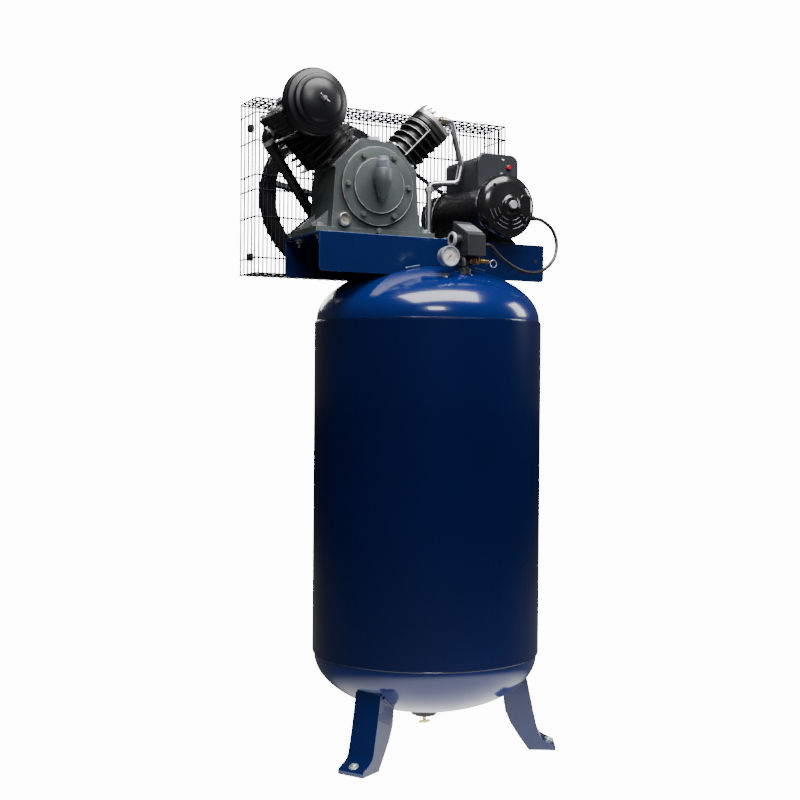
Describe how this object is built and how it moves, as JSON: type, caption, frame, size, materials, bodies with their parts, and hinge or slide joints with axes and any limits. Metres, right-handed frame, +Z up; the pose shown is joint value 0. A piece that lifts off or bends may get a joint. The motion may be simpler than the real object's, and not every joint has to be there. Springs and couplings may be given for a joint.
{
  "type": "vertical tank air compressor",
  "caption": "Upright air receiver on three legs with a belt-driven two-stage V pump, electric motor, wire belt guard, pressure switch, gauge and valves.",
  "frame": {"origin": "centre of the bounding box on the floor, under the three feet", "axes": "+Z up, +X along the top platform from pump to motor, -Y towards the pump's front cover and the pressure switch"},
  "size_m": [0.8172, 0.6568, 1.758],
  "materials": {
    "navy_paint": "gloss navy enamel",
    "cast_green": "satin grey-green casting paint",
    "black_paint": "satin black",
    "dark_plastic": "fine grain",
    "steel": "bright zinc and machined steel",
    "aluminium": "drawn and cast aluminium",
    "brass": "turned brass",
    "rubber": "matte black",
    "glass": "clear",
    "red": "gloss red",
    "paper": "pleated filter paper"
  },
  "bodies": {
    "compressor": {"tank_shell": "navy_paint", "tank_top_head": "navy_paint", "tank_bottom_head": "navy_paint", "leg_left": "navy_paint", "leg_right": "navy_paint", "leg_rear": "navy_paint", "drain_bung": "navy_paint", "platform": "navy_paint", "crankcase": "cast_green", "front_cover": "cast_green", "breather_elbow": "cast_green", "low_stage_cylinder": "black_paint", "high_stage_cylinder": "black_paint", "low_stage_valve_plate": "black_paint", "high_stage_valve_plate": "black_paint", "low_stage_head": "black_paint", "air_filter_base": "black_paint", "air_filter_cover": "black_paint", "interstage_tube": "black_paint", "motor_shell": "black_paint", "motor_front_bell": "black_paint", "motor_rear_bell": "black_paint", "belt_guard": "black_paint", "breather_cap": "dark_plastic", "motor_box": "dark_plastic", "pressure_switch_base": "dark_plastic", "pressure_switch_cover": "dark_plastic", "lead_gland": "dark_plastic", "switch_bung": "steel", "front_bearing": "steel", "rear_bearing": "steel", "motor_stator": "steel", "manifold": "steel", "gauge_case": "steel", "sight_glass": "aluminium", "high_stage_head": "aluminium", "low_stage_rod": "aluminium", "high_stage_rod": "aluminium", "low_stage_piston": "aluminium", "high_stage_piston": "aluminium", "discharge_tube": "aluminium", "check_valve": "aluminium", "unloader_line": "aluminium", "drain_valve_body": "brass", "oil_drain_plug": "brass", "discharge_elbow": "brass", "safety_valve_body": "brass", "drive_belt": "rubber", "motor_lead": "rubber", "gauge_lens": "glass", "air_filter_element": "paper"},
    "flywheel_set": {"crankshaft": "steel", "flywheel": "black_paint"},
    "motor_drive": {"motor_rotor": "steel", "motor_pulley": "steel"},
    "gauge_pointer": {"gauge_needle": "red"},
    "reset_plunger": {"reset_button": "red"},
    "safety_ring": {"safety_valve_ring": "steel"},
    "drain_handle": {"drain_valve_handle": "brass"},
    "wing_nut": {"filter_wing_nut": "steel"}
  },
  "joints": [
    {"name": "flywheel_spin", "type": "hinge", "parent": "compressor", "child": "flywheel_set", "pos_m": [-0.13488, 0.1644, 1.481], "axis": [0, 1, 0], "continuous": true},
    {"name": "motor_spin", "type": "hinge", "parent": "compressor", "child": "motor_drive", "pos_m": [0.21612, 0.1644, 1.448], "axis": [0, 1, 0], "continuous": true},
    {"name": "gauge_sweep", "type": "hinge", "parent": "compressor", "child": "gauge_pointer", "pos_m": [0.00112, -0.2516, 1.297], "axis": [0, 1, 0], "range_deg": [0, 270], "stiffness_Nm_per_rad": 0.002},
    {"name": "reset_press", "type": "slide", "parent": "compressor", "child": "reset_plunger", "axis": [0, 1, 0], "range_m": [0, 0.003], "stiffness_N_per_m": 400},
    {"name": "safety_pull", "type": "slide", "parent": "compressor", "child": "safety_ring", "axis": [1, 0, 0], "range_m": [0, 0.004], "stiffness_N_per_m": 900},
    {"name": "drain_turn", "type": "hinge", "parent": "compressor", "child": "drain_handle", "pos_m": [0.06312, -0.0236, 0.06], "axis": [0, 0, -1], "range_deg": [0, 360]},
    {"name": "wing_nut_turn", "type": "hinge", "parent": "compressor", "child": "wing_nut", "pos_m": [-0.32038, -0.1916, 1.672], "axis": [0, 1, 0], "continuous": true}
  ],
  "couplings": [
    {"joint": "motor_spin", "follows": "flywheel_spin", "ratio": 3.1922}
  ]
}
